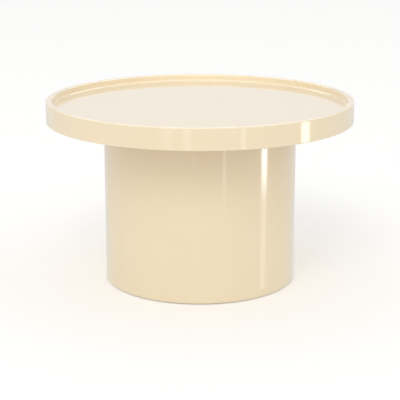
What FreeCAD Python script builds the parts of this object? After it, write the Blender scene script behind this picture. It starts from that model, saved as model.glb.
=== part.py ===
import FreeCAD, Part
import math
import os
from FreeCAD import Vector

# Round cocktail table: a lacquered tray top with a raised rim, bolted to a hollow drum pedestal
# that stands on four levelling feet. Millimetres, +Z up, origin on the floor under the centre.

# Whole table
table_height = 398.0
top_diameter = 660.0
drum_diameter = 415.0
floor_gap = 2.5

# Tray top: rim, panel and the ring that builds up the thickness under the panel
tray_depth = 15.0
panel_thickness = 18.0
build_up_thickness = 12.0
rim_width = 14.0
rim_edge_radius = 3.0
rim_foot_chamfer = 1.0
rebate_depth = 6.0
lip_height = 5.0

# Drum: two bent skins on three formers, which are rings of board, and upright studs
inner_skin_thickness = 4.0
outer_skin_thickness = 4.0
inner_skin_seam = 0.5
drum_foot_chamfer = 1.0
former_thickness = 18.0
former_width = 60.0
middle_former_width = 36.0
stud_count = 8
stud_width = 30.0
stud_depth = 18.0

# Bolts, washers and threaded inserts that hold the top on the drum
bolt_count = 4
bolt_radius = 3.0
bolt_head_across_flats = 10.0
bolt_head_height = 4.0
bolt_play = 0.3
bolt_tip_cover = 3.0
washer_radius = 9.0
washer_thickness = 1.6
insert_wall = 1.5
insert_cover = 2.0

# Levelling feet
foot_count = 4
foot_extend = 12.0
foot_retract = 3.0
pad_radius = 16.0
pad_height = 8.0
pad_floor = 2.0
pin_radius = 3.2
stem_radius = 4.0
collar_across_flats = 13.0
collar_height = 5.0
collar_gap = 0.5
foot_nut_wall = 2.0
foot_nut_length = 12.0
foot_nut_flange_width = 4.0
foot_nut_flange_thickness = 1.5

# Clearances, and the least flat width that an eased edge leaves
glue_gap = 0.1
notch_clearance = 0.2
fit_clearance = 0.05
stop_clearance = 0.3
least_edge_land = 0.5

# Heights in the top, from the rim down
panel_top_z = table_height - tray_depth
lip_z = panel_top_z - lip_height
panel_bottom_z = panel_top_z - panel_thickness
underside_z = panel_bottom_z - build_up_thickness

# Radii in the top
rim_radius = top_diameter / 2
tray_wall_radius = rim_radius - rim_width
rebate_radius = tray_wall_radius + rebate_depth
panel_radius = rebate_radius - glue_gap

# Radii in the drum, from the outside in
drum_radius = drum_diameter / 2
outer_skin_bore = drum_radius - outer_skin_thickness
inner_skin_radius = outer_skin_bore - glue_gap
inner_skin_bore = inner_skin_radius - inner_skin_thickness
former_radius = inner_skin_bore - glue_gap
former_bore = former_radius - former_width
former_centreline = former_radius - former_width / 2

# Radii of the fasteners
bolt_hole_radius = bolt_radius + bolt_play
insert_radius = bolt_radius + insert_wall
foot_nut_bore = stem_radius + fit_clearance
foot_nut_radius = foot_nut_bore + foot_nut_wall
foot_nut_flange_radius = foot_nut_radius + foot_nut_flange_width

# Heights in a foot, from the floor up, which set the height of the bottom former
collar_z = pad_height + collar_gap
foot_nut_z = collar_z + collar_height + foot_retract + stop_clearance
bottom_former_z = foot_nut_z + foot_nut_flange_thickness
foot_nut_top_z = bottom_former_z + foot_nut_length
stem_top_z = foot_nut_top_z + foot_extend

# Heights of the other formers
top_former_z = underside_z - former_thickness
middle_former_z = (bottom_former_z + top_former_z) / 2

UP = Vector(0, 0, 1)
CENTRE = Vector(0, 0, 0)


def turned(outline):
    """Solid of revolution about the vertical axis of a closed outline of corners (radius, z)."""
    corners = [Vector(radius, 0, z) for radius, z in outline]
    return Part.Face(Part.makePolygon(corners + corners[:1])).revolve(CENTRE, UP, 360)


def ring(bore, radius, bottom_z, top_z):
    """Flat ring; with no bore, a disc."""
    return turned([(bore, bottom_z), (radius, bottom_z), (radius, top_z), (bore, top_z)])


def round_edges(shape, radius, z):
    """The round edges of a turned solid that have the given radius and height."""
    found = []
    for edge in shape.Edges:
        curve = edge.Curve
        if not isinstance(curve, Part.Circle):
            continue
        if math.isclose(curve.Radius, radius) and math.isclose(curve.Center.z, z):
            found.append(edge)
    return found


def hex_prism(across_flats, bottom_z, height):
    """Hexagonal prism about the vertical axis."""
    corner = Vector(across_flats / math.sqrt(3), 0, bottom_z)
    corners = []
    for i in range(7):
        corners.append(FreeCAD.Rotation(UP, 60 * i).multVec(corner))
    return Part.Face(Part.makePolygon(corners)).extrude(UP * height)


def circle_places(count, first_angle):
    """Points spaced evenly round the formers' centreline, from first_angle in degrees."""
    first = Vector(former_centreline, 0, 0)
    places = []
    for i in range(count):
        places.append(FreeCAD.Rotation(UP, first_angle + 360 / count * i).multVec(first))
    return places


def at_places(shape, places):
    """A copy of a shape at each place, as a list."""
    return [shape.translated(place) for place in places]


# Places shared by the fasteners and their holes; bolts and feet stand midway between studs
bolt_places = circle_places(bolt_count, 0)
foot_places = circle_places(foot_count, 180 / foot_count)


def rim_band():
    """Hoop round the tray, rebated to fit over the panel's edge, with both upper edges rounded."""
    outline = [
        (rebate_radius, underside_z),
        (rim_radius, underside_z),
        (rim_radius, table_height),
        (tray_wall_radius, table_height),
        (tray_wall_radius, lip_z),
        (rebate_radius, lip_z),
    ]
    band = turned(outline)
    upper = round_edges(band, rim_radius, table_height) + round_edges(band, tray_wall_radius, table_height)
    band = band.makeFillet(min(rim_edge_radius, (rim_width - least_edge_land) / 2), upper)
    return band.makeChamfer(rim_foot_chamfer, round_edges(band, rim_radius, underside_z))


def top_panel():
    """The tray's floor: a disc whose stepped edge goes under the rim's lip."""
    outline = [
        (0, panel_bottom_z),
        (panel_radius, panel_bottom_z),
        (panel_radius, lip_z),
        (tray_wall_radius - glue_gap, lip_z),
        (tray_wall_radius - glue_gap, panel_top_z),
        (0, panel_top_z),
    ]
    return turned(outline)


def build_up_ring():
    """Ring glued under the panel, flush with the rim's foot, bored for the threaded inserts."""
    board = ring(former_bore, panel_radius, underside_z, panel_bottom_z)
    hole = ring(0, insert_radius + fit_clearance, underside_z, panel_bottom_z)
    return board.cut(at_places(hole, bolt_places))


def top_inserts():
    """Threaded inserts in the build-up ring, with plain bores."""
    insert = ring(bolt_radius + fit_clearance, insert_radius, underside_z, panel_bottom_z - insert_cover)
    return Part.makeCompound(at_places(insert, bolt_places))


def top_bolts():
    """Hex bolts from inside the drum, up through the top former into the inserts."""
    head_z = top_former_z - washer_thickness - bolt_head_height
    shank = ring(0, bolt_radius, head_z, panel_bottom_z - bolt_tip_cover)
    head = hex_prism(bolt_head_across_flats, head_z, bolt_head_height)
    bolt = shank.fuse(head).removeSplitter()
    return Part.makeCompound(at_places(bolt, bolt_places))


def top_washers():
    """Wide washers between the bolt heads and the top former."""
    washer = ring(bolt_hole_radius, washer_radius, top_former_z - washer_thickness, top_former_z)
    return Part.makeCompound(at_places(washer, bolt_places))


def stud_blank(number, clearance):
    """Square-cut upright at one of the stud places; with a clearance, the notch that it stands in."""
    width = stud_width + 2 * clearance
    depth = stud_depth + clearance
    corner = Vector(former_radius - depth, -width / 2, bottom_former_z)
    blank = Part.makeBox(depth, width, underside_z - bottom_former_z, corner)
    return blank.rotated(CENTRE, UP, 360 / stud_count * (number + 0.5))


def stud(number):
    """Upright that ties the three formers together, its outer face planed to the drum's curve."""
    core = ring(0, former_radius, bottom_former_z, underside_z)
    return stud_blank(number, 0).common(core)


def notched_former(width, bottom_z):
    """Ring of board with a notch in its edge for each stud."""
    board = ring(former_radius - width, former_radius, bottom_z, bottom_z + former_thickness)
    return board.cut([stud_blank(number, notch_clearance) for number in range(stud_count)])


def former_ring_top():
    """Upper former, against the underside of the top, drilled for the bolts."""
    hole = ring(0, bolt_hole_radius, top_former_z, underside_z)
    return notched_former(former_width, top_former_z).cut(at_places(hole, bolt_places))


def former_ring_middle():
    """Narrower former at mid height, which keeps the skins round between the other two."""
    return notched_former(middle_former_width, middle_former_z)


def former_ring_bottom():
    """Lower former, bored for the insert nuts of the feet."""
    hole = ring(0, foot_nut_radius + fit_clearance, bottom_former_z, bottom_former_z + former_thickness)
    return notched_former(former_width, bottom_former_z).cut(at_places(hole, foot_places))


def drum_skin_inner():
    """Sheet of bending plywood round formers and studs, with its butt seam at the back."""
    sheet = ring(inner_skin_bore, inner_skin_radius, floor_gap, underside_z)
    seam = Part.makeBox(inner_skin_seam, drum_radius, table_height, Vector(-inner_skin_seam / 2, 0, 0))
    return sheet.cut(seam)


def drum_skin_outer():
    """Lacquered sheet round the drum, with its lower edge eased."""
    sheet = ring(outer_skin_bore, drum_radius, floor_gap, underside_z)
    chamfer = min(drum_foot_chamfer, outer_skin_thickness - least_edge_land)
    return sheet.makeChamfer(chamfer, round_edges(sheet, drum_radius, floor_gap))


def foot_inserts():
    """Flanged insert nuts pressed into the bottom former from below, with plain bores."""
    outline = [
        (foot_nut_bore, foot_nut_z),
        (foot_nut_flange_radius, foot_nut_z),
        (foot_nut_flange_radius, bottom_former_z),
        (foot_nut_radius, bottom_former_z),
        (foot_nut_radius, foot_nut_top_z),
        (foot_nut_bore, foot_nut_top_z),
    ]
    return Part.makeCompound(at_places(turned(outline), foot_places))


def foot_pad():
    """Moulded pad with a socket for the stem's pin."""
    socket_radius = pin_radius + fit_clearance
    outline = [
        (0, 0),
        (pad_radius, 0),
        (pad_radius, pad_height),
        (socket_radius, pad_height),
        (socket_radius, pad_floor),
        (0, pad_floor),
    ]
    return turned(outline)


def foot_stem():
    """Levelling screw: a pin that turns in the pad, a hex collar for a spanner, and a plain stem."""
    pin = ring(0, pin_radius, pad_floor + fit_clearance, collar_z)
    collar = hex_prism(collar_across_flats, collar_z, collar_height)
    stem = ring(0, stem_radius, collar_z, stem_top_z)
    return pin.fuse([collar, stem]).removeSplitter()


nodes = {
    "rim_band": rim_band(),
    "top_panel": top_panel(),
    "build_up_ring": build_up_ring(),
    "top_inserts": top_inserts(),
    "top_bolts": top_bolts(),
    "top_washers": top_washers(),
    "former_ring_top": former_ring_top(),
    "former_ring_middle": former_ring_middle(),
    "former_ring_bottom": former_ring_bottom(),
    "drum_skin_inner": drum_skin_inner(),
    "drum_skin_outer": drum_skin_outer(),
    "foot_inserts": foot_inserts(),
}
for number in range(stud_count):
    nodes[f"stud_{number + 1}"] = stud(number)
for number, place in enumerate(foot_places):
    nodes[f"foot_pad_{number + 1}"] = foot_pad().translated(place)
    nodes[f"foot_stem_{number + 1}"] = foot_stem().translated(place)

os.makedirs("parts", exist_ok=True)
for name, shape in nodes.items():
    shape.exportStep(f"parts/{name}.step")
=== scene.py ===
import math

import bmesh
import bpy
from mathutils import Matrix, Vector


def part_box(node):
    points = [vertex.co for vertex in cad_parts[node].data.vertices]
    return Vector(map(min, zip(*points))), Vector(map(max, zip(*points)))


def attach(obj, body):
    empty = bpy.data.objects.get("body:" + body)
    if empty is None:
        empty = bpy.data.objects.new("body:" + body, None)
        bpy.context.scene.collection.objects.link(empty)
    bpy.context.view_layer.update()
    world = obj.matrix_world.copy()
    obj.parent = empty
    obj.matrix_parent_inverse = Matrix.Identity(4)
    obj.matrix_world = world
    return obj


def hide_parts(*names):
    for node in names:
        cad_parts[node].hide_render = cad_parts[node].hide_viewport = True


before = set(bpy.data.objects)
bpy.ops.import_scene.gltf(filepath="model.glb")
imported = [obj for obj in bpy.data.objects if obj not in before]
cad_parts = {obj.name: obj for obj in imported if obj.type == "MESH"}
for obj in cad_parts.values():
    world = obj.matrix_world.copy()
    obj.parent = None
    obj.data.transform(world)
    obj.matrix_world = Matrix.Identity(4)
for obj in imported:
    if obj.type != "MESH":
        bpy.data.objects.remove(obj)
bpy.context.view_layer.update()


# Formers
# Three rings routed from 18 mm medium-density fibreboard keep the drum round. They are notched for the
# studs and glued, and sealed but not lacquered. The upper one is drilled for the top's bolts and the lower
# one for the nuts of the feet.

MM = 0.001
wood_ior = 1.45
fleck_mm = 3
fibre_cloud_mm = 60
fuzz_depth = 0.2 * MM


def linear(hex_colour):
    """Linear colour of an sRGB colour that is written as six hex digits."""
    colour = []
    for i in (0, 2, 4):
        value = int(hex_colour[i:i + 2], 16) / 255
        colour.append(value / 12.92 if value <= 0.04045 else ((value + 0.055) / 1.055) ** 2.4)
    return colour + [1.0]


def per_metre(size_mm):
    """Scale of a texture whose features are this many millimetres across."""
    return 1000 / size_mm


def add(tree, kind, inputs, **settings):
    """Adds a node with its settings, and gives its inputs, by name or number, a value or a link."""
    made = tree.nodes.new(kind)
    for name, value in settings.items():
        setattr(made, name, value)
    for name, value in inputs.items():
        if isinstance(value, bpy.types.NodeSocket):
            tree.links.new(value, made.inputs[name])
        else:
            made.inputs[name].default_value = value
    return made


def empty_finish(name):
    """A new material with nothing in its node tree."""
    material = bpy.data.materials.new(name)
    material.use_nodes = True
    material.node_tree.nodes.clear()
    return material


def show_shader(tree, shader):
    """Puts a shader on the surface."""
    add(tree, "ShaderNodeOutputMaterial", {"Surface": shader.outputs[0]})


def dress(node, material):
    """Gives a node of the frame its material."""
    node.data.materials.clear()
    node.data.materials.append(material)


def bare_fibreboard():
    """Pressed and sanded wood fibre: matt, mid brown, with pale and dark flecks of fibre.
    The real flecks are under 1 mm long; here they are 3 mm, so that they show."""
    material = empty_finish("bare_fibreboard")
    tree = material.node_tree
    place = add(tree, "ShaderNodeTexCoord", {}).outputs["Object"]
    flecks = add(
        tree, "ShaderNodeTexNoise",
        {"Vector": place, "Scale": per_metre(fleck_mm), "Detail": 6.0},
    )
    clouds = add(
        tree, "ShaderNodeTexNoise",
        {"Vector": place, "Scale": per_metre(fibre_cloud_mm), "Detail": 2.0},
    )
    mixed = add(
        tree, "ShaderNodeMath",
        {0: flecks.outputs["Fac"], 1: clouds.outputs["Fac"]}, operation="MULTIPLY",
    )
    tone = add(
        tree, "ShaderNodeMapRange",
        {"Value": mixed.outputs[0], "From Min": 0.05, "From Max": 0.5},
    )
    colour = add(
        tree, "ShaderNodeMixRGB",
        {"Fac": tone.outputs[0], "Color1": linear("9C7A54"), "Color2": linear("B8956B")},
    )
    rough = add(
        tree, "ShaderNodeMapRange",
        {"Value": flecks.outputs["Fac"], "To Min": 0.75, "To Max": 0.95},
    )
    fuzz = add(
        tree, "ShaderNodeBump",
        {"Height": flecks.outputs["Fac"], "Strength": 0.3, "Distance": fuzz_depth},
    )
    shader = add(
        tree, "ShaderNodeBsdfPrincipled",
        {
            "Base Color": colour.outputs[0],
            "Roughness": rough.outputs[0],
            "Normal": fuzz.outputs[0],
            "IOR": wood_ior,
        },
    )
    show_shader(tree, shader)
    return material


fibreboard = bare_fibreboard()
for former in ("former_ring_top", "former_ring_middle", "former_ring_bottom"):
    dress(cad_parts[former], fibreboard)


# Studs
# Eight planed softwood uprights stand in the formers' notches, glued, and tie the three rings together.
# Their outer faces are planed to the drum's curve, and the grain runs up them.

growth_ring_mm = 7
growth_ring_step = 0.16
softwood_fibre_mm = 1
softwood_upward_rate = 0.03
softwood_grain_depth = 0.2 * MM


def planed_softwood():
    """Planed pine: pale early wood with darker lines of late wood that run up the stud, satin from the
    plane. The pattern is drawn out along the stud, so that it changes slowly upwards."""
    material = empty_finish("planed_softwood")
    tree = material.node_tree
    place = add(tree, "ShaderNodeTexCoord", {}).outputs["Object"]
    along = add(tree, "ShaderNodeMapping", {"Vector": place, "Scale": (1, 1, softwood_upward_rate)})
    rings = add(
        tree, "ShaderNodeTexNoise",
        {"Vector": along.outputs[0], "Scale": per_metre(growth_ring_mm), "Detail": 3.0, "Distortion": 0.6},
    )
    fibres = add(
        tree, "ShaderNodeTexNoise",
        {"Vector": along.outputs[0], "Scale": per_metre(softwood_fibre_mm), "Detail": 2.0},
    )
    lines = add(
        tree, "ShaderNodeMath",
        {0: rings.outputs["Fac"], 1: growth_ring_step}, operation="PINGPONG",
    )
    tone = add(
        tree, "ShaderNodeMapRange",
        {"Value": lines.outputs[0], "From Min": 0.02, "From Max": 0.12},
    )
    colour = add(
        tree, "ShaderNodeMixRGB",
        {"Fac": tone.outputs[0], "Color1": linear("B98A55"), "Color2": linear("E0BE8C")},
    )
    rough = add(
        tree, "ShaderNodeMapRange",
        {"Value": fibres.outputs["Fac"], "To Min": 0.5, "To Max": 0.75},
    )
    grain = add(
        tree, "ShaderNodeBump",
        {"Height": fibres.outputs["Fac"], "Strength": 0.25, "Distance": softwood_grain_depth},
    )
    shader = add(
        tree, "ShaderNodeBsdfPrincipled",
        {
            "Base Color": colour.outputs[0],
            "Roughness": rough.outputs[0],
            "Normal": grain.outputs[0],
            "IOR": wood_ior,
        },
    )
    show_shader(tree, shader)
    return material


softwood = planed_softwood()
for name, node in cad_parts.items():
    if name.startswith("stud_"):
        dress(node, softwood)


# Inner skin
# One sheet of 4 mm bending plywood wraps the formers and studs, glued, and meets itself at a butt seam
# at the back. Its face grain runs up the drum, and its three plies show at the lower edge.

inner_skin_thickness_mm = 4
ply_count = 3
veneer_string_mm = 4
veneer_upward_rate = 0.02
veneer_grain_depth = 0.3 * MM


def bending_plywood():
    """Unfinished bending plywood: open, stringy face veneer up the drum, with a darker core ply."""
    material = empty_finish("bending_plywood")
    tree = material.node_tree
    place = add(tree, "ShaderNodeTexCoord", {}).outputs["Object"]
    along = add(tree, "ShaderNodeMapping", {"Vector": place, "Scale": (1, 1, veneer_upward_rate)})
    strings = add(
        tree, "ShaderNodeTexNoise",
        {"Vector": along.outputs[0], "Scale": per_metre(veneer_string_mm), "Detail": 5.0},
    )
    flat = add(tree, "ShaderNodeVectorMath", {0: place, 1: (1, 1, 0)}, operation="MULTIPLY")
    radius = add(tree, "ShaderNodeVectorMath", {0: flat.outputs[0]}, operation="LENGTH")
    skin_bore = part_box("former_ring_top")[1].x
    depth = add(tree, "ShaderNodeMath", {0: radius.outputs["Value"], 1: skin_bore}, operation="SUBTRACT")
    plies = add(
        tree, "ShaderNodeMath",
        {0: depth.outputs[0], 1: per_metre(inner_skin_thickness_mm / ply_count)}, operation="MULTIPLY",
    )
    from_core = add(tree, "ShaderNodeMath", {0: plies.outputs[0], 1: ply_count / 2}, operation="SUBTRACT")
    distance = add(tree, "ShaderNodeMath", {0: from_core.outputs[0]}, operation="ABSOLUTE")
    core = add(tree, "ShaderNodeMath", {0: distance.outputs[0], 1: 0.5}, operation="LESS_THAN")
    veneer = add(
        tree, "ShaderNodeMixRGB",
        {"Fac": strings.outputs["Fac"], "Color1": linear("A67C50"), "Color2": linear("DDBB8B")},
    )
    colour = add(
        tree, "ShaderNodeMixRGB",
        {"Fac": core.outputs[0], "Color1": veneer.outputs[0], "Color2": linear("7E5B39")},
    )
    rough = add(
        tree, "ShaderNodeMapRange",
        {"Value": strings.outputs["Fac"], "To Min": 0.6, "To Max": 0.85},
    )
    grain = add(
        tree, "ShaderNodeBump",
        {"Height": strings.outputs["Fac"], "Strength": 0.4, "Distance": veneer_grain_depth},
    )
    shader = add(
        tree, "ShaderNodeBsdfPrincipled",
        {
            "Base Color": colour.outputs[0],
            "Roughness": rough.outputs[0],
            "Normal": grain.outputs[0],
            "IOR": wood_ior,
        },
    )
    show_shader(tree, shader)
    return material


dress(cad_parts["drum_skin_inner"], bending_plywood())


# Outer skin
# A second 4 mm sheet is bent round the first, glued, filled and sanded smooth, then sprayed with cream
# lacquer and polished. Its lower edge is eased and stops just short of the floor.

outer_skin_thickness = 4 * MM
outer_skin_edge_radius = 1.2 * MM
drum_segments = 256
sharp_from_degrees = 30
lacquer_drift_mm = 120
orange_peel_mm = 9
orange_peel_depth = 0.2 * MM
drum_low, drum_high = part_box("drum_skin_outer")


def put_in_scene(name, data):
    """Object with this mesh, light or camera, linked to the scene."""
    made = bpy.data.objects.new(name, data)
    bpy.context.scene.collection.objects.link(made)
    return made


def arc(centre, size, start, end, steps=8, support=0.3 * MM):
    """Points of an arc in an outline, from one angle to another in degrees.
    A point close before it and one close after it keep the faces beside it flat in the shading."""
    turn = math.copysign(1, end - start)
    points = []
    for i in range(steps + 1):
        angle = math.radians(start + (end - start) * i / steps)
        points.append((centre[0] + size * math.cos(angle), centre[1] + size * math.sin(angle)))
    first, last = math.radians(start), math.radians(end)
    before = (
        points[0][0] + turn * support * math.sin(first),
        points[0][1] - turn * support * math.cos(first),
    )
    after = (
        points[-1][0] - turn * support * math.sin(last),
        points[-1][1] + turn * support * math.cos(last),
    )
    return [before, *points, after]


def turned_piece(name, outline, segments):
    """Object turned about the table's axis from a closed outline of points (radius, z).
    A point with a third value has flats: it is cut to a hexagon of that width across its flats."""
    shape = bmesh.new()
    rows = []
    for radius, z, *flats in outline:
        count = segments if radius > 0 else 1
        row = []
        for i in range(count):
            angle = 2 * math.pi * i / count
            reach = radius
            if flats:
                from_flat = angle % (math.pi / 3) - math.pi / 6
                reach = min(radius, flats[0] / 2 / math.cos(from_flat))
            row.append(shape.verts.new((reach * math.cos(angle), reach * math.sin(angle), z)))
        rows.append(row)
    for lower, upper in zip(rows, rows[1:] + rows[:1]):
        if len(lower) == len(upper) == 1:
            continue
        for i in range(segments):
            j = i + 1
            corners = []
            for row, k in ((lower, i), (lower, j), (upper, j), (upper, i)):
                vertex = row[k % len(row)]
                if vertex not in corners:
                    corners.append(vertex)
            shape.faces.new(corners)
    bmesh.ops.recalc_face_normals(shape, faces=shape.faces)
    mesh = bpy.data.meshes.new(name)
    shape.to_mesh(mesh)
    shape.free()
    mesh.shade_smooth()
    mesh.set_sharp_from_angle(angle=math.radians(sharp_from_degrees))
    return put_in_scene(name, mesh)


def cream_gloss_lacquer():
    """Sprayed, polished pigment lacquer: a warm cream under a hard, clear, glassy top.
    Its colour and polish drift a little over a hand's width, and its gloss has a trace of orange peel."""
    material = empty_finish("cream_gloss_lacquer")
    tree = material.node_tree
    place = add(tree, "ShaderNodeTexCoord", {}).outputs["Object"]
    drift = add(
        tree, "ShaderNodeTexNoise",
        {"Vector": place, "Scale": per_metre(lacquer_drift_mm), "Detail": 2.0},
    )
    peel = add(
        tree, "ShaderNodeTexNoise",
        {"Vector": place, "Scale": per_metre(orange_peel_mm), "Detail": 2.0},
    )
    colour = add(
        tree, "ShaderNodeMixRGB",
        {"Fac": drift.outputs["Fac"], "Color1": linear("E9D7B6"), "Color2": linear("ECDCBD")},
    )
    rough = add(
        tree, "ShaderNodeMapRange",
        {"Value": drift.outputs["Fac"], "To Min": 0.27, "To Max": 0.33},
    )
    ripple = add(
        tree, "ShaderNodeBump",
        {"Height": peel.outputs["Fac"], "Strength": 0.05, "Distance": orange_peel_depth},
    )
    shader = add(
        tree, "ShaderNodeBsdfPrincipled",
        {
            "Base Color": colour.outputs[0],
            "Roughness": rough.outputs[0],
            "Specular IOR Level": 0.1,
            "Coat Weight": 1.0,
            "Coat Roughness": 0.03,
            "Coat IOR": 1.5,
            "Coat Normal": ripple.outputs[0],
        },
    )
    show_shader(tree, shader)
    return material


lacquer = cream_gloss_lacquer()
drum_radius = drum_high.x
drum_bore = drum_radius - outer_skin_thickness
outline = [
    (drum_bore, drum_low.z),
    *arc((drum_radius - outer_skin_edge_radius, drum_low.z + outer_skin_edge_radius),
         outer_skin_edge_radius, -90, 0),
    (drum_radius, drum_high.z),
    (drum_bore, drum_high.z),
]
drum_skin = turned_piece("drum_skin", outline, drum_segments)
drum_skin.data.materials.append(lacquer)
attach(drum_skin, "table")
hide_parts("drum_skin_outer")


# Foot nuts
# Four flanged steel insert nuts are pressed into the bottom former from below, with barbs that bite in
# the board. They are zinc plated and passivated to a thin yellow.

foot_nut_low, foot_nut_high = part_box("foot_inserts")
foot_pad_low, foot_pad_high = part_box("foot_pad_1")
foot_circle = math.hypot(foot_pad_low.x + foot_pad_high.x, foot_pad_low.y + foot_pad_high.y) / 2
foot_count = 4
foot_nut_bore = 4.05 * MM
foot_nut_radius = 6.05 * MM
foot_nut_flange_radius = 10.05 * MM
foot_nut_flange_thickness = 1.5 * MM
foot_nut_edge_radius = 0.5 * MM
foot_nut_barb_count = 4
foot_nut_barb_depth = 0.6 * MM
foot_nut_barb_peak_share = 0.2
foot_nut_segments = 64
small_edge_steps = 4
small_edge_support = 0.1 * MM
plating_cloud_mm = 4


def plated_steel(name, pale, dull):
    """Zinc-plated steel: bright, a little cloudy, with a fine grain left by the plating bath.
    The clouds are drawn at 4 mm, coarser than real, so that they show."""
    material = empty_finish(name)
    tree = material.node_tree
    place = add(tree, "ShaderNodeTexCoord", {}).outputs["Object"]
    clouds = add(
        tree, "ShaderNodeTexNoise",
        {"Vector": place, "Scale": per_metre(plating_cloud_mm), "Detail": 4.0},
    )
    colour = add(
        tree, "ShaderNodeMixRGB",
        {"Fac": clouds.outputs["Fac"], "Color1": linear(dull), "Color2": linear(pale)},
    )
    rough = add(
        tree, "ShaderNodeMapRange",
        {"Value": clouds.outputs["Fac"], "To Min": 0.24, "To Max": 0.42},
    )
    shader = add(
        tree, "ShaderNodeBsdfPrincipled",
        {"Base Color": colour.outputs[0], "Metallic": 1.0, "Roughness": rough.outputs[0]},
    )
    show_shader(tree, shader)
    return material


def tree_with(name, sizes):
    """Geometry node tree with a mesh in and out, a material, and named sizes of the given socket kinds."""
    tree = bpy.data.node_groups.new(name, "GeometryNodeTree")
    tree.interface.new_socket("Geometry", in_out="INPUT", socket_type="NodeSocketGeometry")
    tree.interface.new_socket("Geometry", in_out="OUTPUT", socket_type="NodeSocketGeometry")
    tree.interface.new_socket("Material", in_out="INPUT", socket_type="NodeSocketMaterial")
    for size, kind in sizes.items():
        tree.interface.new_socket(size, in_out="INPUT", socket_type=kind)
    return tree


def end_tree(tree, geometry, material):
    """Last nodes of a tree: copies made real, with their material."""
    real = add(tree, "GeometryNodeRealizeInstances", {"Geometry": geometry})
    dressed = add(tree, "GeometryNodeSetMaterial", {"Geometry": real.outputs[0], "Material": material})
    add(tree, "NodeGroupOutput", {"Geometry": dressed.outputs[0]})


def ring_of_copies():
    """Tree that sets copies of a mesh on a circle round the table's axis."""
    sizes = {
        "Count": "NodeSocketInt",
        "Circle Radius": "NodeSocketFloat",
        "First Angle": "NodeSocketFloat",
    }
    tree = tree_with("ring_of_copies", sizes)
    given = add(tree, "NodeGroupInput", {}).outputs
    circle = add(
        tree, "GeometryNodeMeshCircle",
        {"Vertices": given["Count"], "Radius": given["Circle Radius"]},
    )
    turn = add(tree, "ShaderNodeCombineXYZ", {"Z": given["First Angle"]})
    turned = add(
        tree, "GeometryNodeTransform",
        {"Geometry": circle.outputs[0], "Rotation": turn.outputs[0]},
    )
    copies = add(
        tree, "GeometryNodeInstanceOnPoints",
        {"Points": turned.outputs[0], "Instance": given["Geometry"]},
    )
    end_tree(tree, copies.outputs[0], given["Material"])
    return tree


def run_trees(piece, steps):
    """Runs geometry node trees on a piece, each with its sizes, and keeps the result as a plain mesh."""
    for tree, sizes in steps:
        modifier = piece.modifiers.new(tree.name, "NODES")
        modifier.node_group = tree
        for socket in tree.interface.items_tree:
            if socket.in_out == "INPUT" and socket.name in sizes:
                modifier[socket.identifier] = sizes[socket.name]
    graph = bpy.context.evaluated_depsgraph_get()
    mesh = bpy.data.meshes.new_from_object(piece.evaluated_get(graph))
    piece.modifiers.clear()
    piece.data = mesh


copies_tree = ring_of_copies()
yellow_zinc = plated_steel("yellow_zinc_plated_steel", "CDBE8E", "A8955F")
flange_top = foot_nut_low.z + foot_nut_flange_thickness
outline = [
    (foot_nut_bore, foot_nut_low.z + foot_nut_edge_radius),
    (foot_nut_bore + foot_nut_edge_radius, foot_nut_low.z),
    *arc((foot_nut_flange_radius - foot_nut_edge_radius, foot_nut_low.z + foot_nut_edge_radius),
         foot_nut_edge_radius, -90, 0, small_edge_steps, small_edge_support),
    (foot_nut_flange_radius, flange_top),
    (foot_nut_radius - foot_nut_barb_depth, flange_top),
]
barb_pitch = (foot_nut_high.z - flange_top) / foot_nut_barb_count
for barb in range(foot_nut_barb_count):
    barb_z = flange_top + barb * barb_pitch
    outline.append((foot_nut_radius, barb_z + foot_nut_barb_peak_share * barb_pitch))
    outline.append((foot_nut_radius - foot_nut_barb_depth, barb_z + barb_pitch))
outline.append((foot_nut_bore, foot_nut_high.z))
foot_nuts = turned_piece("foot_nuts", outline, foot_nut_segments)
ring_sizes = {
    "Material": yellow_zinc,
    "Count": foot_count,
    "Circle Radius": foot_circle,
    "First Angle": math.pi / foot_count,
}
run_trees(foot_nuts, [(copies_tree, ring_sizes)])
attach(foot_nuts, "table")
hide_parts("foot_inserts")


# Levelling screws
# Each foot has an M8 zinc-plated screw with a hex collar for a spanner. It turns up and down in its nut,
# and its lower pin turns in the pad.

stem_low, stem_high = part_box("foot_stem_1")
stem_radius = 3.98 * MM
stem_tip_chamfer = 1 * MM
stem_pitch = 1.25 * MM
stem_thread_depth = 0.6 * MM
stem_thread_rows_per_turn = 10
pin_radius = 3.2 * MM
pin_chamfer = 0.4 * MM
collar_gap = 0.5 * MM
collar_height = 5 * MM
collar_across_flats = 13 * MM
collar_chamfer = 0.7 * MM
hex_end_share = 0.97
thread_flat_share = 0.05
screw_segments = 48


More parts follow.
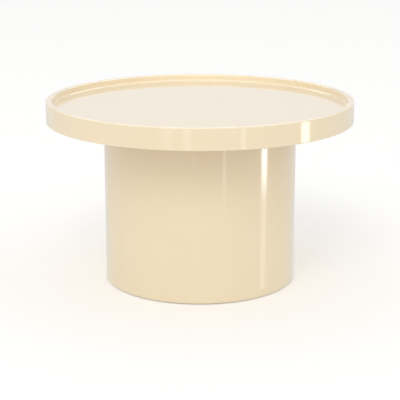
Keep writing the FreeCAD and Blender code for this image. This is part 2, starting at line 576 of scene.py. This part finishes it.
def cut_thread():
    """Tree that cuts a screw thread in a turned shank between two heights, with a flat crest and root."""
    sizes = {
        "Pitch": "NodeSocketFloat",
        "Depth": "NodeSocketFloat",
        "Start Height": "NodeSocketFloat",
        "End Height": "NodeSocketFloat",
    }
    tree = tree_with("cut_thread", sizes)
    given = add(tree, "NodeGroupInput", {}).outputs
    point = add(tree, "GeometryNodeInputPosition", {}).outputs[0]
    x, y, z = add(tree, "ShaderNodeSeparateXYZ", {0: point}).outputs
    angle = add(tree, "ShaderNodeMath", {0: y, 1: x}, operation="ARCTAN2")
    turns = add(tree, "ShaderNodeMath", {0: angle.outputs[0], 1: 2 * math.pi}, operation="DIVIDE")
    rise = add(tree, "ShaderNodeMath", {0: z, 1: given["Pitch"]}, operation="DIVIDE")
    phase = add(tree, "ShaderNodeMath", {0: rise.outputs[0], 1: turns.outputs[0]}, operation="SUBTRACT")
    half_pitch = 0.5
    tooth = add(tree, "ShaderNodeMath", {0: phase.outputs[0], 1: half_pitch}, operation="PINGPONG")
    groove = add(
        tree, "ShaderNodeMapRange",
        {
            "Value": tooth.outputs[0],
            "From Min": thread_flat_share,
            "From Max": half_pitch - thread_flat_share,
            "To Max": given["Depth"],
        },
    )
    above = add(tree, "ShaderNodeMath", {0: z, 1: given["Start Height"]}, operation="GREATER_THAN")
    below = add(tree, "ShaderNodeMath", {0: z, 1: given["End Height"]}, operation="LESS_THAN")
    zone = add(tree, "ShaderNodeMath", {0: above.outputs[0], 1: below.outputs[0]}, operation="MULTIPLY")
    cut = add(tree, "ShaderNodeMath", {0: groove.outputs[0], 1: zone.outputs[0]}, operation="MULTIPLY")
    inward = add(tree, "ShaderNodeVectorMath", {0: point, 1: (-1, -1, 0)}, operation="MULTIPLY")
    one_long = add(tree, "ShaderNodeVectorMath", {0: inward.outputs[0]}, operation="NORMALIZE")
    move = add(
        tree, "ShaderNodeVectorMath",
        {0: one_long.outputs[0], "Scale": cut.outputs[0]}, operation="SCALE",
    )
    threaded = add(
        tree, "GeometryNodeSetPosition",
        {"Geometry": given["Geometry"], "Offset": move.outputs[0]},
    )
    end_tree(tree, threaded.outputs[0], given["Material"])
    return tree


def hex_rows(across_flats, bottom_z, top_z, chamfer):
    """Outline of a hexagon of bar whose corners are turned off at both ends."""
    corner = across_flats / math.sqrt(3)
    turned_off = across_flats / 2 * hex_end_share
    return [
        (turned_off, bottom_z, across_flats),
        (corner, bottom_z + chamfer, across_flats),
        (corner, top_z - chamfer, across_flats),
        (turned_off, top_z, across_flats),
    ]


def shank_rows(radius, bottom_z, top_z, pitch, rows_per_turn):
    """Outline of a plain shank with rows close enough for a thread."""
    count = math.ceil((top_z - bottom_z) / pitch * rows_per_turn)
    return [(radius, bottom_z + (top_z - bottom_z) * i / count) for i in range(count + 1)]


def copy_between(pattern, name, low, high):
    """Copy of a piece that was made on the table's axis, moved to the middle between two corners."""
    mesh = pattern.data.copy()
    mesh.transform(Matrix.Translation(((low.x + high.x) / 2, (low.y + high.y) / 2, 0)))
    return put_in_scene(name, mesh)


thread_tree = cut_thread()
zinc = plated_steel("bright_zinc_plated_steel", "D3D7DB", "AEB4BA")
collar_z = foot_pad_high.z + collar_gap
shank_z = collar_z + collar_height
shank_top_z = stem_high.z - stem_tip_chamfer
outline = [
    (0, stem_low.z),
    (pin_radius - pin_chamfer, stem_low.z),
    (pin_radius, stem_low.z + pin_chamfer),
    (pin_radius, collar_z),
    *hex_rows(collar_across_flats, collar_z, shank_z, collar_chamfer),
    *shank_rows(stem_radius, shank_z, shank_top_z, stem_pitch, stem_thread_rows_per_turn),
    (stem_radius - stem_tip_chamfer, stem_high.z),
    (0, stem_high.z),
]
levelling_screw = turned_piece("levelling_screw", outline, screw_segments)
thread_sizes = {
    "Material": zinc,
    "Pitch": stem_pitch,
    "Depth": stem_thread_depth,
    "Start Height": shank_z + stem_pitch / 2,
    "End Height": stem_high.z - stem_tip_chamfer / 2,
}
run_trees(levelling_screw, [(thread_tree, thread_sizes)])
for number in range(1, foot_count + 1):
    low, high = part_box(f"foot_stem_{number}")
    screw = copy_between(levelling_screw, f"levelling_screw_{number}", low, high)
    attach(screw, f"stem_{number}")
    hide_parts(f"foot_stem_{number}")
bpy.data.objects.remove(levelling_screw)


# Foot pads
# Each screw stands in a round pad, injection moulded in black nylon, that slides on the floor without
# marking it. Its edges are rounded, and its underside has a shallow moulded recess.

pad_radius = (foot_pad_high.x - foot_pad_low.x) / 2
pad_edge_radius = 1.2 * MM
pad_draft = 0.4 * MM
pad_socket_radius = 3.25 * MM
pad_floor = 2 * MM
pad_recess_radius = 9 * MM
pad_recess_depth = 0.6 * MM
pad_segments = 72
mould_grain_mm = 1.5
mould_grain_depth = 0.1 * MM


def moulded_nylon():
    """Injection-moulded black nylon: satin, with the fine spark-eroded grain of its mould.
    The grain is drawn at 1.5 mm, coarser than real, so that it shows."""
    material = empty_finish("moulded_black_nylon")
    tree = material.node_tree
    place = add(tree, "ShaderNodeTexCoord", {}).outputs["Object"]
    grain = add(
        tree, "ShaderNodeTexNoise",
        {"Vector": place, "Scale": per_metre(mould_grain_mm), "Detail": 3.0},
    )
    colour = add(
        tree, "ShaderNodeMixRGB",
        {"Fac": grain.outputs["Fac"], "Color1": linear("141414"), "Color2": linear("262626")},
    )
    rough = add(
        tree, "ShaderNodeMapRange",
        {"Value": grain.outputs["Fac"], "To Min": 0.38, "To Max": 0.55},
    )
    bump = add(
        tree, "ShaderNodeBump",
        {"Height": grain.outputs["Fac"], "Strength": 0.3, "Distance": mould_grain_depth},
    )
    shader = add(
        tree, "ShaderNodeBsdfPrincipled",
        {
            "Base Color": colour.outputs[0],
            "Roughness": rough.outputs[0],
            "Normal": bump.outputs[0],
            "IOR": 1.53,
        },
    )
    show_shader(tree, shader)
    return material


pad_top_radius = pad_radius - pad_draft
outline = [
    (0, pad_recess_depth),
    (pad_recess_radius - pad_recess_depth, pad_recess_depth),
    (pad_recess_radius, foot_pad_low.z),
    *arc((pad_radius - pad_edge_radius, foot_pad_low.z + pad_edge_radius), pad_edge_radius, -90, 0),
    *arc((pad_top_radius - pad_edge_radius, foot_pad_high.z - pad_edge_radius), pad_edge_radius, 0, 90),
    (pad_socket_radius + pad_recess_depth, foot_pad_high.z),
    (pad_socket_radius, foot_pad_high.z - pad_recess_depth),
    (pad_socket_radius, pad_floor),
    (0, pad_floor),
]
pad_pattern = turned_piece("foot_pad_pattern", outline, pad_segments)
pad_pattern.data.materials.append(moulded_nylon())
for number in range(1, foot_count + 1):
    low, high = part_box(f"foot_pad_{number}")
    pad = copy_between(pad_pattern, f"nylon_pad_{number}", low, high)
    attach(pad, f"pad_{number}")
    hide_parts(f"foot_pad_{number}")
bpy.data.objects.remove(pad_pattern)


# Tray panel and build-up ring
# The tray's floor is a disc of 18 mm fibreboard, sprayed with the drum's lacquer. A 12 mm ring is glued
# under it to thicken the top; nobody sees it in use, so it is only sanded and sealed.

dress(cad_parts["top_panel"], lacquer)
dress(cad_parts["build_up_ring"], fibreboard)


# Rim
# A hoop of fibreboard is bent and glued round the panel, which fits in a rebate inside it. Its upper edges
# are rounded over, and the lacquer leaves a small cove where its inner wall meets the panel.

rim_low, rim_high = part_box("rim_band")
panel_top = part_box("top_panel")[1].z
rim_segments = 320
rim_width = 14 * MM
rim_edge_radius = 3 * MM
rim_edge_steps = 12
rim_foot_radius = 1.2 * MM
rim_lip_height = 5 * MM
rim_rebate_depth = 6 * MM
lacquer_cove_radius = 4 * MM
lacquer_cove_sink = 0.05 * MM

rim_radius = rim_high.y
tray_wall = rim_radius - rim_width
rebate_wall = tray_wall + rim_rebate_depth
rim_edge_z = rim_high.z - rim_edge_radius
lip_z = panel_top - rim_lip_height
cove_wall = tray_wall - lacquer_cove_radius
cove_z = panel_top - lacquer_cove_sink
cove_underside_z = cove_z - lacquer_cove_sink
outline = [
    (rebate_wall, rim_low.z),
    *arc((rim_radius - rim_foot_radius, rim_low.z + rim_foot_radius), rim_foot_radius, -90, 0),
    *arc((rim_radius - rim_edge_radius, rim_edge_z), rim_edge_radius, 0, 90, rim_edge_steps),
    *arc((tray_wall + rim_edge_radius, rim_edge_z), rim_edge_radius, 90, 180, rim_edge_steps),
    *arc((cove_wall, cove_z + lacquer_cove_radius), lacquer_cove_radius, 0, -90),
    (cove_wall, cove_underside_z),
    (tray_wall, cove_underside_z),
    (tray_wall, lip_z),
    (rebate_wall, lip_z),
]
rim = turned_piece("rim", outline, rim_segments)
rim.data.materials.append(lacquer)
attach(rim, "table")
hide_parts("rim_band")


# Bolts, washers and inserts of the top
# Four M6 hex bolts go up through the top former, each with a wide washer, into threaded inserts that are
# screwed into the build-up ring. All are bright zinc-plated steel, but the inserts are yellow.

bolt_low, bolt_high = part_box("top_bolts")
washer_low, washer_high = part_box("top_washers")
insert_low, insert_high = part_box("top_inserts")
bolt_count = 4
bolt_circle = foot_circle
bolt_radius = 2.98 * MM
bolt_pitch = 1 * MM
bolt_thread_depth = 0.5 * MM
bolt_thread_rows_per_turn = 8
bolt_turns_below_insert = 2
bolt_tip_chamfer = 0.8 * MM
bolt_head_height = 4 * MM
bolt_head_across_flats = 10 * MM
bolt_head_chamfer = 0.5 * MM
washer_bore = 3.3 * MM
washer_radius = 9 * MM
washer_edge_radius = 0.3 * MM
washer_segments = 64
insert_radius = 4.5 * MM
insert_bore = 3.05 * MM
insert_pitch = 2.5 * MM
insert_thread_depth = 0.7 * MM
insert_thread_rows_per_turn = 12
insert_plain_end = insert_pitch / 4

bolt_shank_z = bolt_low.z + bolt_head_height
bolt_tip_z = bolt_high.z - bolt_tip_chamfer
outline = [
    (0, bolt_low.z),
    *hex_rows(bolt_head_across_flats, bolt_low.z, bolt_shank_z, bolt_head_chamfer),
    *shank_rows(bolt_radius, bolt_shank_z, bolt_tip_z, bolt_pitch, bolt_thread_rows_per_turn),
    (bolt_radius - bolt_tip_chamfer, bolt_high.z),
    (0, bolt_high.z),
]
bolts = turned_piece("bolts", outline, screw_segments)
thread_sizes = {
    "Material": zinc,
    "Pitch": bolt_pitch,
    "Depth": bolt_thread_depth,
    "Start Height": insert_low.z - bolt_turns_below_insert * bolt_pitch,
    "End Height": bolt_high.z - bolt_tip_chamfer / 2,
}
ring_sizes = {"Material": zinc, "Count": bolt_count, "Circle Radius": bolt_circle, "First Angle": 0.0}
run_trees(bolts, [(thread_tree, thread_sizes), (copies_tree, ring_sizes)])
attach(bolts, "table")
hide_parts("top_bolts")

washer_top = washer_high.z - washer_edge_radius
washer_bottom = washer_low.z + washer_edge_radius
washer_flat = washer_radius - washer_edge_radius
outline = [
    (washer_bore, washer_low.z),
    *arc((washer_flat, washer_bottom), washer_edge_radius, -90, 0, small_edge_steps, small_edge_support),
    *arc((washer_flat, washer_top), washer_edge_radius, 0, 90, small_edge_steps, small_edge_support),
    (washer_bore, washer_high.z),
]
washers = turned_piece("washers", outline, washer_segments)
run_trees(washers, [(copies_tree, ring_sizes)])
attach(washers, "table")
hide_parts("top_washers")

outline = [
    (insert_bore, insert_low.z),
    *shank_rows(insert_radius, insert_low.z, insert_high.z, insert_pitch, insert_thread_rows_per_turn),
    (insert_bore, insert_high.z),
]
inserts = turned_piece("threaded_inserts", outline, screw_segments)
thread_sizes = {
    "Material": yellow_zinc,
    "Pitch": insert_pitch,
    "Depth": insert_thread_depth,
    "Start Height": insert_low.z + insert_plain_end,
    "End Height": insert_high.z - insert_plain_end,
}
ring_sizes["Material"] = yellow_zinc
run_trees(inserts, [(thread_tree, thread_sizes), (copies_tree, ring_sizes)])
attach(inserts, "table")
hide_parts("top_inserts")


# Studio
# A pale floor lies under a white sky that is brightest near the horizon, with a wide key light far in
# front. A softbox overhead and upright strips beside the table show only in its gloss, as the light along
# the rim's edges and the streaks down the drum.

mottle_mm = 300
floor_half_width = 30.0
floor_glow = 0.165
sky_in_front = 0.99
sky_behind = 1.03
sky_change_overhead = -0.3
sky_below = 0.78
tray_lamp_power = 0.22
tray_lamp_radius = 5 * MM
tray_lamp_height = 8 * MM
tray_lamp_setback = 140 * MM
soft_side_share = 0.35
foot_glow_share = 0.125
no_fade = (-1.0, 0.0)
# A light's direction is in degrees right of the camera, and its fade gives the two shares of its height
# between which it fades downwards. Two strips go on below the floor, as their streaks do.
key_light = dict(direction=-12.0, elevation=42.0, distance=10.0, width=6.5, height=4.0, radiance=3.33)
gloss_lights = {
    "overhead_softbox": dict(
        direction=0.0, elevation=90.0, distance=1.7, width=4.4, height=4.4, radiance=2.75,
    ),
    "drum_strip": dict(
        direction=73.1, elevation=4.7, distance=0.92, width=0.185, height=0.65, radiance=11.3,
        fade=(0.36, 0.6),
    ),
    "rim_strip": dict(
        direction=70.0, elevation=12.2, distance=1.09, width=0.19, height=0.106, radiance=7.0,
    ),
    "front_strip": dict(
        direction=25.4, elevation=1.5, distance=0.96, width=0.075, height=0.55, radiance=1.8,
        fade=(0.4, 0.62),
    ),
    "left_strip": dict(
        direction=-20.5, elevation=6.0, distance=1.31, width=0.22, height=0.27, radiance=1.0,
        fade=(0.0, 0.9),
    ),
    "middle_strip": dict(
        direction=-8.0, elevation=6.0, distance=1.31, width=0.16, height=0.27, radiance=1.3,
        fade=(0.0, 0.9),
    ),
}


def pale_floor():
    """White matt studio floor that is also lit a little from within, with the faintest mottle.
    It only shows from above."""
    material = empty_finish("pale_studio_floor")
    tree = material.node_tree
    place = add(tree, "ShaderNodeTexCoord", {}).outputs["Object"]
    mottle = add(
        tree, "ShaderNodeTexNoise",
        {"Vector": place, "Scale": per_metre(mottle_mm), "Detail": 2.0},
    )
    colour = add(
        tree, "ShaderNodeMixRGB",
        {"Fac": mottle.outputs["Fac"], "Color1": linear("F7F7F6"), "Color2": linear("F9F9F8")},
    )
    paint = add(tree, "ShaderNodeBsdfDiffuse", {"Color": colour.outputs[0]})
    glow = add(tree, "ShaderNodeEmission", {"Strength": floor_glow})
    lit = add(tree, "ShaderNodeAddShader", {0: paint.outputs[0], 1: glow.outputs[0]})
    clear = add(tree, "ShaderNodeBsdfTransparent", {})
    below = add(tree, "ShaderNodeNewGeometry", {}).outputs["Backfacing"]
    shader = add(tree, "ShaderNodeMixShader", {0: below, 1: lit.outputs[0], 2: clear.outputs[0]})
    show_shader(tree, shader)
    return material


half = floor_half_width
floor_corners = [(-half, -half, 0), (half, -half, 0), (half, half, 0), (-half, half, 0)]
floor_mesh = bpy.data.meshes.new("floor")
floor_mesh.from_pydata(floor_corners, [], [(0, 1, 2, 3)])
floor_mesh.materials.append(pale_floor())
floor = put_in_scene("floor", floor_mesh)
# The gloss shows an even sky in place of the floor and its shadow.
floor.visible_glossy = False

world = bpy.data.worlds.new("white_sky")
world.use_nodes = True
sky = world.node_tree
sky.nodes.clear()
towards = add(sky, "ShaderNodeTexCoord", {}).outputs["Generated"]
way = add(sky, "ShaderNodeSeparateXYZ", {0: towards}).outputs
around = add(
    sky, "ShaderNodeMapRange",
    {"Value": way["Y"], "From Min": -1.0, "To Min": sky_in_front, "To Max": sky_behind},
)
overhead = add(sky, "ShaderNodeMapRange", {"Value": way["Z"], "To Max": sky_change_overhead})
dome = add(sky, "ShaderNodeMath", {0: around.outputs[0], 1: overhead.outputs[0]}, operation="ADD")
upward = add(sky, "ShaderNodeMath", {0: way["Z"], 1: 0.0}, operation="GREATER_THAN")
# The darker sky below the horizon is for the gloss. The camera itself sees the bright sky there too, so no
# line shows where the floor ends.
seen = add(sky, "ShaderNodeLightPath", {}).outputs["Is Camera Ray"]
bright = add(sky, "ShaderNodeMath", {0: upward.outputs[0], 1: seen}, operation="MAXIMUM")
sky_radiance = add(
    sky, "ShaderNodeMapRange",
    {"Value": bright.outputs[0], "To Min": sky_below, "To Max": dome.outputs[0]},
)
white = add(
    sky, "ShaderNodeBackground",
    {"Color": linear("FFFFFF"), "Strength": sky_radiance.outputs[0]},
)
add(sky, "ShaderNodeOutputWorld", {"Surface": white.outputs[0]})
bpy.context.scene.world = world


def soft_light(name, direction, elevation, distance, width, height, radiance, fade=no_fade):
    """Rectangular light with soft sides that faces the table's foot; the camera doesn't see it."""
    data = bpy.data.lights.new(name, "AREA")
    data.shape = "RECTANGLE"
    data.size = width
    data.size_y = height
    data.energy = radiance * math.pi * width * height
    data.use_nodes = True
    tree = data.node_tree
    tree.nodes.clear()
    place = add(tree, "ShaderNodeNewGeometry", {}).outputs["Parametric"]
    share = add(tree, "ShaderNodeSeparateXYZ", {0: place}).outputs
    from_side = add(tree, "ShaderNodeMath", {0: share["X"], 1: 0.5}, operation="PINGPONG")
    sides = add(
        tree, "ShaderNodeMapRange",
        {"Value": from_side.outputs[0], "From Max": soft_side_share}, interpolation_type="SMOOTHSTEP",
    )
    foot = add(
        tree, "ShaderNodeMapRange",
        {"Value": share["Y"], "From Min": fade[0], "From Max": fade[1], "To Min": foot_glow_share},
        interpolation_type="SMOOTHSTEP",
    )
    level = add(tree, "ShaderNodeMath", {0: sides.outputs[0], 1: foot.outputs[0]}, operation="MULTIPLY")
    glow = add(tree, "ShaderNodeEmission", {"Strength": level.outputs[0]})
    add(tree, "ShaderNodeOutputLight", {"Surface": glow.outputs[0]})
    light = put_in_scene(name, data)
    turn = math.radians(direction)
    rise = math.radians(elevation)
    reach = distance * math.cos(rise)
    light.location = (reach * math.sin(turn), -reach * math.cos(turn), distance * math.sin(rise))
    light.rotation_euler = (math.pi / 2 - rise, 0, turn)
    light.visible_camera = False
    return light


def light_only(light, piece):
    """Lets a light reach one piece alone."""
    light.light_linking.receiver_collection = bpy.data.collections.new(f"lit_by_{light.name}")
    light.light_linking.receiver_collection.objects.link(piece)


soft_light("key_light", **key_light)
for name, settings in gloss_lights.items():
    gloss_light = soft_light(name, **settings)
    gloss_light.visible_diffuse = False
light_only(bpy.data.objects["drum_strip"], drum_skin)
light_only(bpy.data.objects["rim_strip"], rim)

# A small lamp low over the back of the tray lights the rim's inner wall.
lamp_data = bpy.data.lights.new("tray_lamp", "POINT")
lamp_data.energy = tray_lamp_power
lamp_data.shadow_soft_size = tray_lamp_radius
tray_lamp = put_in_scene("tray_lamp", lamp_data)
tray_lamp.location = (0, tray_lamp_setback, panel_top + tray_lamp_height)
tray_lamp.visible_camera = False
tray_lamp.visible_glossy = False
light_only(tray_lamp, rim)


# Camera
# It stands some two and a half metres in front of the table, at about twice its height, and looks down by
# 15 degrees, as the photograph does.

camera_lens_mm = 109.08
camera_sensor_mm = 36.0
camera_distance = 2.576
camera_height = 0.8538
camera_tilt_degrees = 75.13

camera_data = bpy.data.cameras.new("camera")
camera_data.lens = camera_lens_mm
camera_data.sensor_width = camera_sensor_mm
camera = put_in_scene("camera", camera_data)
camera.location = (0, -camera_distance, camera_height)
camera.rotation_euler = (math.radians(camera_tilt_degrees), 0, 0)
bpy.context.scene.camera = camera
bpy.context.scene.view_settings.view_transform = "Standard"
